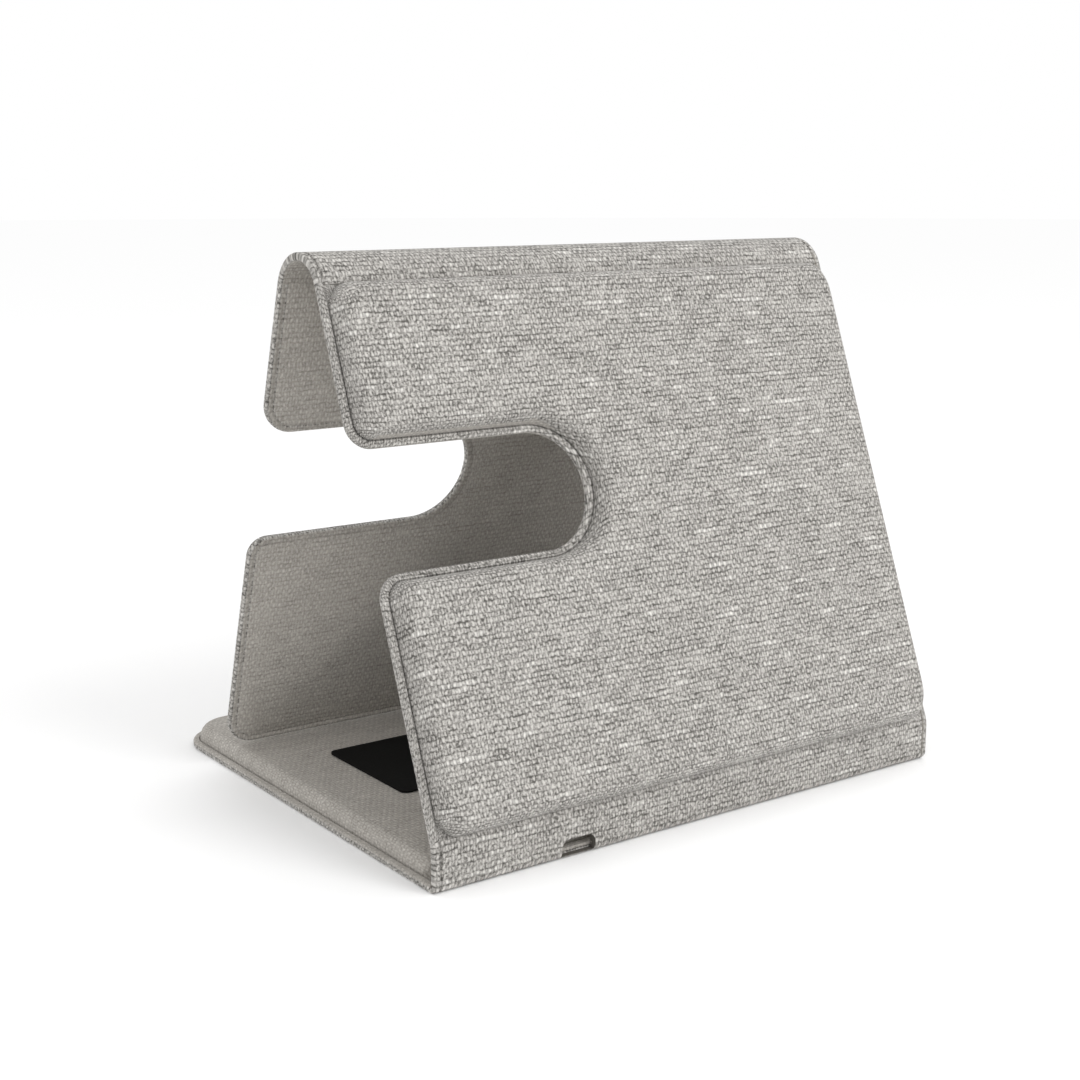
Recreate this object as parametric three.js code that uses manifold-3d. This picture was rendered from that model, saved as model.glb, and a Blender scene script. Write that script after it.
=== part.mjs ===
// Fabric-covered folding stand: a padded base, a narrow spine, a padded front panel, a rounded top strip
// and a thin back panel, one strip of cloth that folds up into a tent. Millimetres, +X along the folds,
// +Y to the back, +Z up, origin in the middle of the base's flat underside.
import * as THREE from 'three';
import { mergeVertices } from 'three/addons/utils/BufferGeometryUtils.js';
import Module from 'manifold-3d';

const wasm = await Module();
wasm.setup();

// Overall sizes.
const WIDTH = 157;
const BASE_DEPTH = 134;
const FRONT_LENGTH = 127.2;
const FRONT_LEAN = 21;
const BACK_LENGTH = 129.3;
const BACK_LEAN = 17.6;

// The laminate: two cloth skins with a stiff board between them.
const LAMINATE = 1.9;
const SKIN = 0.5;
const BOARD = 0.7;
const GAP = 0.1;
const END_GAP = 0.3;
const BOARD_INSET = 2.2;
const BOARD_END = 1;

// Raised pads.
const RIM = 1.9;
const PAD_RISE = 4.2;
const PAD_SHOULDER = 2.4;
const FRONT_PAD_CORNER = 5;
const FRONT_PAD_END = 0.8;
const BASE_PAD_END = 2.9;
const BASE_CORNER = 12;

// Folds: the radius of each bend, measured to the outer face.
const BOTTOM_BEND = 2.2;
const SPINE_BEND = 8;
const ARCH_BEND = 10.5;
const FOLD_CLOTH = 1.3;
const SPINE_TOP = 9.3;
const ARCH_FOLD_SWEEP = 60;

// The hand slot that runs in from the left edge of the front and back panels.
const SLOT_HEIGHT = 28.9;
const SLOT_DEPTH = 61.8;
const SLOT_BELOW_ARCH = 53;
const SLOT_CORNER = 6;
const BACK_UPPER_CORNER = 8;
const BACK_CORNER = 5;

// The cable notch in the spine.
const NOTCH_X = -38.5;
const NOTCH_WIDTH = 10;
const NOTCH_LOW = 1.2;
const NOTCH_HIGH = 5.7;
const NOTCH_CUT = { outward: 5, inward: 3 };

// The grip pad on the base, and the steel strip and magnets that hold the back panel's foot.
const GRIP = { width: 118, depth: 38, thick: 0.5, y: -3, corner: 2 };
const STRIP = { width: 132, depth: 14, thick: 0.6, y: 37 };
const MAGNET = { width: 20, depth: 8, fromFoot: 8, spacing: 52 };

// How finely the curves are cut into facets, and the smallest steps between points and radii.
const ARC_STEPS = 8;
const BEND_STEPS = 12;
const SHOULDER_STEPS = 3;
const SAME_POINT = 1e-4;
const HAIR = 0.01;
const LEAST_RADIUS = 0.5;

const LEFT = -WIDTH / 2;
const RIGHT = WIDTH / 2;
const FACE_Y = -BASE_DEPTH / 2;
const REAR_Y = BASE_DEPTH / 2;
const HALF = LAMINATE / 2;
const PAD_TOP = LAMINATE + PAD_RISE;
const SLOT_END = LEFT + SLOT_DEPTH;
const radians = THREE.MathUtils.degToRad;

const COLOURS = {
  outer: { color: 0xb4b1ab, roughness: 0.95, metalness: 0 },
  inner: { color: 0x8f8b84, roughness: 0.95, metalness: 0 },
  foam: { color: 0xd9d6cf, roughness: 0.9, metalness: 0 },
  board: { color: 0x9a8468, roughness: 0.85, metalness: 0 },
  grip: { color: 0x111111, roughness: 0.6, metalness: 0 },
  steel: { color: 0xa8abae, roughness: 0.35, metalness: 1 },
  magnet: { color: 0x8d9093, roughness: 0.3, metalness: 1 },
};

// --- solids -------------------------------------------------------------------------------------------

function toSolid(geometry) {
  const bare = geometry.clone();
  bare.deleteAttribute('normal');
  bare.deleteAttribute('uv');
  const merged = mergeVertices(bare, SAME_POINT);
  const vertProperties = new Float32Array(merged.attributes.position.array);
  const triVerts = new Uint32Array(merged.index.array);
  return new wasm.Manifold(new wasm.Mesh({ numProp: 3, vertProperties, triVerts }));
}

function toGeometry(solid) {
  const mesh = solid.getMesh();
  const geometry = new THREE.BufferGeometry();
  geometry.setAttribute('position', new THREE.BufferAttribute(new Float32Array(mesh.vertProperties), 3));
  geometry.setIndex(new THREE.BufferAttribute(new Uint32Array(mesh.triVerts), 1));
  geometry.computeVertexNormals();
  return geometry;
}

function join(first, ...others) {
  return toGeometry(others.reduce((solid, other) => solid.add(toSolid(other)), toSolid(first)));
}

function cut(first, ...others) {
  return toGeometry(others.reduce((solid, other) => solid.subtract(toSolid(other)), toSolid(first)));
}

function box(x0, x1, y0, y1, z0, z1) {
  const geometry = new THREE.BoxGeometry(x1 - x0, y1 - y0, z1 - z0);
  geometry.translate((x0 + x1) / 2, (y0 + y1) / 2, (z0 + z1) / 2);
  return geometry;
}

// A closed outline from its corners [x, y, radius], with each corner rounded by an arc.
function outline(corners) {
  const shape = new THREE.Shape();
  const count = corners.length;
  corners.forEach(([x, y, radius], i) => {
    const here = new THREE.Vector2(x, y);
    const [beforeX, beforeY] = corners[(i + count - 1) % count];
    const [afterX, afterY] = corners[(i + 1) % count];
    const toBefore = new THREE.Vector2(beforeX, beforeY).sub(here).normalize();
    const toAfter = new THREE.Vector2(afterX, afterY).sub(here).normalize();
    const halfAngle = Math.acos(THREE.MathUtils.clamp(toBefore.dot(toAfter), -1, 1)) / 2;
    const back = radius / Math.tan(halfAngle);
    const start = here.clone().addScaledVector(toBefore, back);
    const end = here.clone().addScaledVector(toAfter, back);
    if (i === 0) shape.moveTo(start.x, start.y);
    else shape.lineTo(start.x, start.y);
    if (radius === 0) return;
    const middle = toBefore.clone().add(toAfter).normalize();
    const centre = here.clone().addScaledVector(middle, radius / Math.sin(halfAngle));
    const startAngle = Math.atan2(start.y - centre.y, start.x - centre.x);
    const endAngle = Math.atan2(end.y - centre.y, end.x - centre.x);
    const turn = toBefore.x * toAfter.y - toBefore.y * toAfter.x;
    shape.absarc(centre.x, centre.y, radius, startAngle, endAngle, turn > 0);
  });
  shape.closePath();
  return shape;
}

function plate(shape, low, high) {
  const options = { depth: high - low, bevelEnabled: false, curveSegments: ARC_STEPS };
  const geometry = new THREE.ExtrudeGeometry(shape, options);
  geometry.translate(0, 0, low);
  return geometry;
}

// A block with a flat underside and rounded upper edges, its sides standing on the outline.
function cushion(shape, low, high, shoulder) {
  const geometry = new THREE.ExtrudeGeometry(shape, {
    depth: 2 * (high - low - shoulder),
    bevelEnabled: true,
    bevelThickness: shoulder,
    bevelSize: shoulder,
    bevelOffset: -shoulder,
    bevelSegments: SHOULDER_STEPS,
    curveSegments: ARC_STEPS,
  });
  geometry.translate(0, 0, low - (high - low - shoulder));
  const reach = 2 * WIDTH;
  return cut(geometry, box(-reach, reach, -reach, reach, low - reach, low));
}

// A band bent round a centre in the Y-Z plane, as wide as the stand.
function bend(centre, inner, outer, fromAngle, toAngle) {
  const shape = new THREE.Shape();
  shape.absarc(0, 0, outer, radians(fromAngle), radians(toAngle), false);
  shape.absarc(0, 0, inner, radians(toAngle), radians(fromAngle), true);
  shape.closePath();
  const options = { depth: WIDTH, bevelEnabled: false, curveSegments: BEND_STEPS };
  const geometry = new THREE.ExtrudeGeometry(shape, options);
  geometry.applyMatrix4(
    new THREE.Matrix4().makeBasis(
      new THREE.Vector3(0, 1, 0),
      new THREE.Vector3(0, 0, 1),
      new THREE.Vector3(1, 0, 0),
    ),
  );
  geometry.translate(LEFT, centre.y, centre.z);
  return geometry;
}

const group = new THREE.Group();

function addPiece(parent, name, geometry, colour) {
  const mesh = new THREE.Mesh(geometry, new THREE.MeshStandardMaterial(COLOURS[colour]));
  mesh.name = name;
  parent.add(mesh);
}

// --- where the panels stand ---------------------------------------------------------------------------

// Directions in the Y-Z plane: up the front panel, out of its face, down the back panel, out of its face.
const upFront = { y: Math.sin(radians(FRONT_LEAN)), z: Math.cos(radians(FRONT_LEAN)) };
const outFront = { y: -upFront.z, z: upFront.y };
const downBack = { y: Math.sin(radians(BACK_LEAN)), z: -Math.cos(radians(BACK_LEAN)) };
const outBack = { y: -downBack.z, z: downBack.y };

function along(start, direction, distance) {
  return { y: start.y + distance * direction.y, z: start.z + distance * direction.z };
}

const bottomBend = { y: FACE_Y + BOTTOM_BEND, z: BOTTOM_BEND };
const spineBend = { y: FACE_Y + SPINE_BEND, z: SPINE_TOP };
const frontFoot = along(spineBend, outFront, SPINE_BEND - HALF);
const archBend = along(along(frontFoot, upFront, FRONT_LENGTH), outFront, HALF - ARCH_BEND);
const backTop = along(archBend, outBack, ARCH_BEND - HALF);

// A panel's own frame: x along the folds, y away from its upper or lower fold, z out of its outer face.
function panelFrame(origin, angle) {
  const frame = new THREE.Group();
  frame.position.set(0, origin.y, origin.z);
  frame.rotation.x = radians(angle);
  group.add(frame);
  return frame;
}

// --- outlines -----------------------------------------------------------------------------------------

// The base's outline, square at the fold and rounded at the back, drawn in by inset.
function baseOutline(inset, frontInset = inset) {
  const radius = BASE_CORNER - inset;
  const front = bottomBend.y + END_GAP + frontInset;
  return outline([
    [LEFT + inset, front, 0],
    [RIGHT - inset, front, 0],
    [RIGHT - inset, REAR_Y - inset, radius],
    [LEFT + inset, REAR_Y - inset, radius],
  ]);
}

// A panel with the hand slot cut in from its left edge, drawn in by inset; slotY is the slot's middle, and
// corners holds the radii at the slot's mouth and at the panel's far and near edges.
function slottedOutline(nearY, farY, slotY, inset, corners) {
  const halfSlot = SLOT_HEIGHT / 2 + inset;
  const end = SLOT_END + inset;
  const left = LEFT + inset;
  const right = RIGHT - inset;
  const mouth = (radius) => Math.max(radius - inset, LEAST_RADIUS);
  return outline([
    [left, nearY, corners.near],
    [right, nearY, corners.near],
    [right, farY, corners.far],
    [left, farY, corners.far],
    [left, slotY + halfSlot, mouth(corners.farMouth)],
    [end, slotY + halfSlot, halfSlot - HAIR],
    [end, slotY - halfSlot, halfSlot - HAIR],
    [left, slotY - halfSlot, mouth(corners.nearMouth)],
  ]);
}

function frontOutline(inset, endInset, padCorner = 0) {
  const slotY = FRONT_LENGTH - SLOT_BELOW_ARCH;
  return slottedOutline(endInset, FRONT_LENGTH - endInset, slotY, inset, {
    near: padCorner,
    far: padCorner,
    nearMouth: SLOT_CORNER,
    farMouth: SLOT_CORNER,
  });
}

function backOutline(inset, topInset = inset) {
  return slottedOutline(topInset, BACK_LENGTH - inset, SLOT_BELOW_ARCH, inset, {
    near: 0,
    far: BACK_UPPER_CORNER - inset,
    nearMouth: BACK_UPPER_CORNER,
    farMouth: BACK_CORNER,
  });
}

// --- base ---------------------------------------------------------------------------------------------

function addBase() {
  const boardLow = SKIN + GAP;
  const foamLow = boardLow + BOARD + GAP;
  const liningLow = LAMINATE - SKIN;
  const foamTop = PAD_TOP - SKIN - GAP;
  const hollowInset = SKIN + GAP;
  const foamInset = hollowInset + GAP;
  addPiece(group, 'base_cover', plate(baseOutline(0), 0, SKIN), 'outer');
  addPiece(group, 'base_board', plate(baseOutline(BOARD_INSET), boardLow, boardLow + BOARD), 'board');
  const skin = join(
    plate(baseOutline(0), liningLow, LAMINATE),
    cushion(baseOutline(RIM, BASE_PAD_END), liningLow, PAD_TOP, PAD_SHOULDER),
  );
  const hollowOutline = baseOutline(RIM + hollowInset, BASE_PAD_END + hollowInset);
  const hollow = cushion(hollowOutline, 0, PAD_TOP - SKIN, PAD_SHOULDER - SKIN);
  addPiece(group, 'base_lining', cut(skin, hollow), 'inner');
  const stripBox = (room, low, high) => box(
    -STRIP.width / 2 - room, STRIP.width / 2 + room,
    STRIP.y - STRIP.depth / 2 - room, STRIP.y + STRIP.depth / 2 + room,
    low, high,
  );
  const foamOutline = baseOutline(RIM + foamInset, BASE_PAD_END + foamInset);
  const foam = cushion(foamOutline, foamLow, foamTop, PAD_SHOULDER - SKIN);
  const pocketLow = foamTop - STRIP.thick - 2 * GAP;
  addPiece(group, 'base_foam', cut(foam, stripBox(END_GAP, pocketLow, PAD_TOP)), 'foam');
  addPiece(group, 'foot_catch_strip', stripBox(0, pocketLow + GAP, foamTop - GAP), 'steel');
  const gripOutline = outline([
    [-GRIP.width / 2, GRIP.y - GRIP.depth / 2, GRIP.corner],
    [GRIP.width / 2, GRIP.y - GRIP.depth / 2, GRIP.corner],
    [GRIP.width / 2, GRIP.y + GRIP.depth / 2, GRIP.corner],
    [-GRIP.width / 2, GRIP.y + GRIP.depth / 2, GRIP.corner],
  ]);
  const gripLow = PAD_TOP + GAP / 2;
  addPiece(group, 'grip_pad', plate(gripOutline, gripLow, gripLow + GRIP.thick), 'grip');
}

// --- spine --------------------------------------------------------------------------------------------

function notchBox() {
  const low = NOTCH_X - NOTCH_WIDTH / 2;
  const nearY = FACE_Y - NOTCH_CUT.outward;
  const farY = FACE_Y + NOTCH_CUT.inward;
  return box(low, low + NOTCH_WIDTH, nearY, farY, NOTCH_LOW, NOTCH_HIGH);
}

function addSpine() {
  const low = bottomBend.z + END_GAP;
  const high = spineBend.z - END_GAP;
  const layer = (from, to, inset) => cut(
    box(LEFT + inset, RIGHT - inset, FACE_Y + from, FACE_Y + to, low, high),
    notchBox(),
  );
  addPiece(group, 'spine_cover', layer(0, SKIN, 0), 'outer');
  addPiece(group, 'spine_board', layer(SKIN + GAP, SKIN + GAP + BOARD, BOARD_INSET), 'board');
  addPiece(group, 'spine_lining', layer(LAMINATE - SKIN, LAMINATE, 0), 'inner');
}

// --- front panel --------------------------------------------------------------------------------------

function addFront() {
  const frame = panelFrame(frontFoot, 90 - FRONT_LEAN);
  const padLow = HALF - SKIN;
  const padHigh = HALF + PAD_RISE;
  const endRoom = END_GAP / 2;
  const foamInset = SKIN + 2 * GAP;
  const hollowCorner = FRONT_PAD_CORNER - SKIN;
  const lining = plate(frontOutline(0, endRoom), -HALF, -HALF + SKIN);
  addPiece(frame, 'front_lining', lining, 'inner');
  const board = plate(frontOutline(BOARD_INSET, BOARD_END), -BOARD / 2, BOARD / 2);
  addPiece(frame, 'front_board', board, 'board');
  const foamOutline = frontOutline(RIM + foamInset, FRONT_PAD_END + foamInset, hollowCorner);
  const foam = cushion(foamOutline, padLow, padHigh - SKIN - GAP, PAD_SHOULDER - SKIN);
  addPiece(frame, 'front_foam', foam, 'foam');
  const padOutline = frontOutline(RIM, FRONT_PAD_END, FRONT_PAD_CORNER);
  const hollowOutline = frontOutline(RIM + SKIN, FRONT_PAD_END + SKIN, hollowCorner);
  const skin = join(
    plate(frontOutline(0, endRoom), padLow, HALF),
    cushion(padOutline, padLow, padHigh, PAD_SHOULDER),
  );
  const hollow = cushion(hollowOutline, padLow - SKIN, padHigh - SKIN, PAD_SHOULDER - SKIN);
  addPiece(frame, 'front_cover', cut(skin, hollow), 'outer');
}

// --- top strip ----------------------------------------------------------------------------------------

const archStart = 180 - FRONT_LEAN;
const archEnd = BACK_LEAN;
const archGap = THREE.MathUtils.radToDeg(END_GAP / ARCH_BEND);

function addTopStrip() {
  const from = archEnd + ARCH_FOLD_SWEEP + archGap;
  const to = archStart - ARCH_FOLD_SWEEP - archGap;
  const inner = ARCH_BEND - LAMINATE;
  const battenInner = ARCH_BEND - HALF - BOARD / 2;
  addPiece(group, 'top_cover', bend(archBend, ARCH_BEND - SKIN, ARCH_BEND, from, to), 'outer');
  addPiece(group, 'top_batten', bend(archBend, battenInner, battenInner + BOARD, from, to), 'board');
  addPiece(group, 'top_lining', bend(archBend, inner, inner + SKIN, from, to), 'inner');
}

// --- back panel ---------------------------------------------------------------------------------------

function addBack() {
  const frame = panelFrame(backTop, -(90 - BACK_LEAN));
  const endRoom = END_GAP / 2;
  const footY = BACK_LENGTH - MAGNET.fromFoot;
  const magnetBox = (x, room, half) => box(
    x - MAGNET.width / 2 - room, x + MAGNET.width / 2 + room,
    footY - MAGNET.depth / 2 - room, footY + MAGNET.depth / 2 + room,
    -half, half,
  );
  const places = { left: -MAGNET.spacing, middle: 0, right: MAGNET.spacing };
  const pockets = Object.values(places).map((x) => magnetBox(x, END_GAP, BOARD));
  addPiece(frame, 'back_cover', plate(backOutline(0, endRoom), HALF - SKIN, HALF), 'outer');
  const board = plate(backOutline(BOARD_INSET, BOARD_END), -BOARD / 2, BOARD / 2);
  addPiece(frame, 'back_board', cut(board, ...pockets), 'board');
  addPiece(frame, 'back_lining', plate(backOutline(0, endRoom), -HALF, -HALF + SKIN), 'inner');
  for (const [side, x] of Object.entries(places)) {
    addPiece(frame, `foot_magnet_${side}`, magnetBox(x, 0, BOARD / 2), 'magnet');
  }
}

// --- the cloth of the folds ---------------------------------------------------------------------------

function addFolds() {
  const bottomRing = bend(bottomBend, BOTTOM_BEND - FOLD_CLOTH, BOTTOM_BEND, 180, 270);
  addPiece(group, 'base_spine_fold', cut(bottomRing, notchBox()), 'outer');
  addPiece(
    group, 'spine_front_fold',
    bend(spineBend, SPINE_BEND - FOLD_CLOTH, SPINE_BEND, archStart, 180), 'outer',
  );
  const inner = ARCH_BEND - FOLD_CLOTH;
  addPiece(
    group, 'front_top_fold',
    bend(archBend, inner, ARCH_BEND, archStart - ARCH_FOLD_SWEEP, archStart), 'outer',
  );
  addPiece(
    group, 'top_back_fold',
    bend(archBend, inner, ARCH_BEND, archEnd, archEnd + ARCH_FOLD_SWEEP), 'outer',
  );
}

addBase();
addSpine();
addFront();
addTopStrip();
addBack();
addFolds();

export default group;
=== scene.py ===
# %% [markdown]
# # A folding stand covered in woven cloth
# The stand is one long strip of bonded cloth with stiff boards inside. It folds up into a tent: a padded base,
# a narrow spine with a notch for a charging cable, a padded front panel with a hand slot, a narrow top strip
# and a thin back panel whose foot comes down on the base.
#
# The frame that this script loads holds the stiff parts and says how the folds turn. Everything made here is
# the cloth. Each panel gets one closed piece that rides on its board, and each fold gets a short band of cloth,
# curved round the fold's centre, between its two neighbours.

# %% Load the frame
import math

import bpy
import numpy as np
from mathutils import Matrix, Vector, noise


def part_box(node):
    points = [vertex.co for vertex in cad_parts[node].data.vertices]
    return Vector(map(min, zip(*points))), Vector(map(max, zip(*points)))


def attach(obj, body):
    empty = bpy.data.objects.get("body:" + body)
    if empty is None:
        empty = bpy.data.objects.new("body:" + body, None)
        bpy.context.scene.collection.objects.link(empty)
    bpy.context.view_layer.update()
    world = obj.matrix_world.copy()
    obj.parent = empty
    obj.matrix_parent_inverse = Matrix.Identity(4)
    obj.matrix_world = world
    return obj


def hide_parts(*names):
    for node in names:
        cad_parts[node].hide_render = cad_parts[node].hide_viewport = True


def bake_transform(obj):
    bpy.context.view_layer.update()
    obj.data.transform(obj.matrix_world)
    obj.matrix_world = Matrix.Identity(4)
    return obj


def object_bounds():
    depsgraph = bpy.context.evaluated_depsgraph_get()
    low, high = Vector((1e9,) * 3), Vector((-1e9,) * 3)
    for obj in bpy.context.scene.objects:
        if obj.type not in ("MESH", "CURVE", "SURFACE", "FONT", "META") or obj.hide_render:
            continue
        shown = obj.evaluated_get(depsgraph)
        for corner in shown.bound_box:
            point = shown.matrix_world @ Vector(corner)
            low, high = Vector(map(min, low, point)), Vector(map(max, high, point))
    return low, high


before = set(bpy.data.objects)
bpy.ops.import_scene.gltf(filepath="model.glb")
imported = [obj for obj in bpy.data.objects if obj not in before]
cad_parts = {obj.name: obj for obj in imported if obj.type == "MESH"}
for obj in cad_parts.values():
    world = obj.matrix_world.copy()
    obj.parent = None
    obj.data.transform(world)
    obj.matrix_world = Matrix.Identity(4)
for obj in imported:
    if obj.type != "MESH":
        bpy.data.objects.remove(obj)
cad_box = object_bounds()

print("size of the frame in millimetres:", [round(1000 * v, 1) for v in cad_box[1] - cad_box[0]])

# %% [markdown]
# ## The sizes of the cloth work
# The outline and the thickness of every panel come from the boards and skins of the frame. What the frame does
# not say is how the cloth is finished: how far the edge is rolled, where the edge is pressed flat, and how deep
# the pressed line is. Those are sizes that a case maker chooses, and they are named here, in millimetres.

# %% Sizes of the finish
METRES = 0.001
EDGE_ROLL = 0.6
RIM = 1.45
LINE_SLOPE = 0.2
LINE_DEPTH = 0.34
LINING_LINE_DEPTH = 0.12
LINE_IN = RIM + 2 * LINE_SLOPE
PAD_STEP = 0.5
SHOULDER = 2.8
PUFF = 1.0
FOLD_LINE_DEPTH = 0.16
PAD_CORNER = 5.0
CROWN = 0.15
PUFF_LIMIT = 0.4
STARTS_LOWER = 0.4
ROOM_AT_FOLDS = 0.15
SKIN = 0.5
PAD_START = {"front": 0.05, "base": 2.9}
ARCH_RADIUS = 10.5
SPINE_RADIUS = 8.0
SLOT_CORNER = 6.0
BACK_MOUTH = 8.0
BACK_CORNERS = {"foot": 5.0, "far": 8.0}
BASE_CORNER = 12.0
BOTTOM_FOLD_CLOTH = 1.3
GRID = 4.0

# %% [markdown]
# ## Where the panels stand
# Each panel is easier to make lying flat, with x along the folds, y along the strip and z out of its face, and
# at one unit to the millimetre, because the edge tools work best on numbers that aren't tiny. This cell reads
# from a skin of each tilted panel where its middle plane is, as a matrix that carries the flat piece into place.


# %% Read a panel's place from its skin
def corners_of(node):
    return np.array([v.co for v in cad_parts[node].data.vertices], float)


def standing_place(node, facing, going):
    """The matrix that stands a flat panel up, from its inner skin. facing and going are the signs of the
    outward face's y and of the strip's z."""
    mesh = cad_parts[node].data
    out = max(mesh.polygons, key=lambda face: face.area).normal.copy()
    out = out * math.copysign(1, out.y * facing)
    along = out.cross(Vector((1, 0, 0)))
    along = along * math.copysign(1, along.z * going)
    points = corners_of(node)
    near = (points @ np.array(along)).min() - ROOM_AT_FOLDS * METRES
    inner = (points @ np.array(out)).min()
    length = (points @ np.array(along)).max() + ROOM_AT_FOLDS * METRES - near
    start = along * near + out * (inner + half_thick * METRES)
    turn = Matrix((along.cross(out), along, out)).transposed().to_4x4()
    return Matrix.Translation(start) @ turn, length / METRES


spine_out, spine_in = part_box("spine_cover"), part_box("spine_lining")
half_thick = (spine_in[1].y - spine_out[0].y) / METRES / 2
half_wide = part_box("front_cover")[1].x / METRES
front_place, front_length = standing_place("front_lining", -1, 1)
back_place, back_length = standing_place("back_lining", 1, -1)
print(f"laminate {2 * half_thick:.2f} mm thick, stand {2 * half_wide:.1f} mm wide")
print(f"front panel {front_length:.1f} mm long, back panel {back_length:.1f} mm long")

# %% [markdown]
# ## The hand slot
# The slot is one cut through both panels from the left. On the real stand a die cuts it, with a round end. Its
# height, its depth and its place along each panel are read from the same skins: the points of the skin that
# stand clear of the panel's outer edges belong to the slot.


# %% Measure the slot
def slot_of(node, place, length):
    """The slot's low and high edge along the panel, and where its round end stops, in millimetres."""
    flat = corners_of(node) @ np.array(place.to_3x3()) / METRES
    flat = flat - np.array(place.to_3x3().transposed() @ place.translation) / METRES
    inside = (flat[:, 1] > 20) & (flat[:, 1] < length - 20) & (flat[:, 0] < half_wide - 5)
    edge = flat[inside & (flat[:, 0] > -half_wide + 12)]
    return edge[:, 1].min(), edge[:, 1].max(), edge[:, 0].max()


front_slot = slot_of("front_lining", front_place, front_length)
back_slot = slot_of("back_lining", back_place, back_length)
print("front slot", [round(float(v), 1) for v in front_slot], "back slot", [round(float(v), 1) for v in back_slot])

# %% [markdown]
# ## Working tools
# These few helpers are used for every piece. A piece starts as one flat face. Bisecting, deleting and
# dissolving give it its cut-outs, and bevelling single corners rounds them. Then the face is lifted into a
# plate, and the rim, the pressed line and the pad's shoulder are all made the same way: the top face is inset a
# little at a time, up or down by a little each time, so every line on the piece follows the outline exactly.


# %% Choosing vertices and faces by place
def in_edit(obj):
    if bpy.context.object and bpy.context.object.mode == "EDIT":
        bpy.ops.object.mode_set(mode="OBJECT")
    bpy.ops.object.select_all(action="DESELECT")
    obj.select_set(True)
    bpy.context.view_layer.objects.active = obj
    bpy.ops.object.mode_set(mode="EDIT")


def out_of_edit():
    bpy.ops.object.mode_set(mode="OBJECT")


def choose(obj, kind, test):
    """Selects just the vertices, edges or faces of obj whose middle passes the test, and says how many."""
    out_of_edit()
    mesh = obj.data
    for group in (mesh.vertices, mesh.edges, mesh.polygons):
        group.foreach_set("select", [False] * len(group))
    middle = {
        "VERT": lambda v: v.co,
        "EDGE": lambda e: (mesh.vertices[e.vertices[0]].co + mesh.vertices[e.vertices[1]].co) / 2,
        "FACE": lambda f: f.center,
    }[kind]
    group = {"VERT": mesh.vertices, "EDGE": mesh.edges, "FACE": mesh.polygons}[kind]
    found = [part for part in group if test(middle(part))]
    for part in found:
        part.select = True
    bpy.ops.object.mode_set(mode="EDIT")
    bpy.ops.mesh.select_mode(type=kind)
    return len(found)


# %% Cutting a blank and rounding its corners
def blank(name, near, far, height):
    """One flat face as wide as the stand, from near to far along the strip."""
    bpy.ops.object.select_all(action="DESELECT")
    bpy.ops.mesh.primitive_plane_add(size=1, location=(0, (near + far) / 2, height))
    obj = bpy.context.object
    obj.name = name
    obj.data.name = name
    obj.scale = (2 * half_wide, far - near, 1)
    bpy.ops.object.transform_apply(location=True, rotation=True, scale=True)
    return obj


def bisect_at(axis, value):
    normal = [0, 0, 0]
    normal[axis] = 1
    bpy.ops.mesh.select_all(action="SELECT")
    bpy.ops.mesh.bisect(plane_co=[value * n for n in normal], plane_no=normal, threshold=1e-5)


def cut_slot(obj, slot):
    low, high, end = slot
    in_edit(obj)
    for axis, value in ((1, low), (1, high), (0, end)):
        bisect_at(axis, value)
    choose(obj, "FACE", lambda c: low < c.y < high and c.x < end)
    bpy.ops.mesh.delete(type="FACE")
    bpy.ops.mesh.select_all(action="SELECT")
    bpy.ops.mesh.dissolve_limited(angle_limit=0.01)
    out_of_edit()


def round_corner(obj, x, y, radius, steps=10):
    choose(obj, "VERT", lambda c: abs(c.x - x) < 0.01 and abs(c.y - y) < 0.01)
    bpy.ops.mesh.bevel(offset_type="OFFSET", offset=radius, segments=steps, profile=0.5, affect="VERTICES")
    bpy.ops.mesh.select_all(action="SELECT")
    bpy.ops.mesh.remove_doubles(threshold=0.03)
    out_of_edit()


def round_slot(obj, slot, near_mouth, far_mouth):
    low, high, end = slot
    for y in (low, high):
        round_corner(obj, end, y, (high - low) / 2 - 0.01, steps=24)
    round_corner(obj, -half_wide, low, near_mouth)
    round_corner(obj, -half_wide, high, far_mouth)


# %% Rings: inset step by step
def rolled(radius, steps=4):
    """The steps, inwards and upwards, round a quarter circle from a wall on to a flat."""
    angles = [i * math.pi / 2 / steps for i in range(steps + 1)]
    places = [(radius * (1 - math.cos(a)), radius * math.sin(a)) for a in angles]
    return [(b[0] - a[0], b[1] - a[1]) for a, b in zip(places, places[1:])]


def swollen(inwards, upwards, steps=10):
    """The same for a pad's shoulder, which is higher than it is wide."""
    return [(inwards * i, upwards * u) for i, u in rolled(1.0, steps)]


def pressed_line(depth):
    return [(RIM - EDGE_ROLL, 0), (LINE_SLOPE, -depth), (LINE_SLOPE, 0.0)]


def rings(obj, height, steps):
    """Insets the one face at this height, ring by ring. Upwards is away from the plate, on either side."""
    in_edit(obj)
    choose(obj, "FACE", lambda c: abs(c.z - height) < 1e-4)
    for inwards, upwards in steps:
        bpy.ops.mesh.inset(thickness=inwards, depth=upwards, use_even_offset=True, use_boundary=True)
    out_of_edit()


def lift(obj, height):
    """Makes the flat face a plate of this height."""
    in_edit(obj)
    bpy.ops.mesh.select_all(action="SELECT")
    bpy.ops.mesh.extrude_region_move(TRANSFORM_OT_translate={"value": (0, 0, height)})
    bpy.ops.mesh.select_all(action="SELECT")
    bpy.ops.mesh.normals_make_consistent(inside=False)
    out_of_edit()


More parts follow.
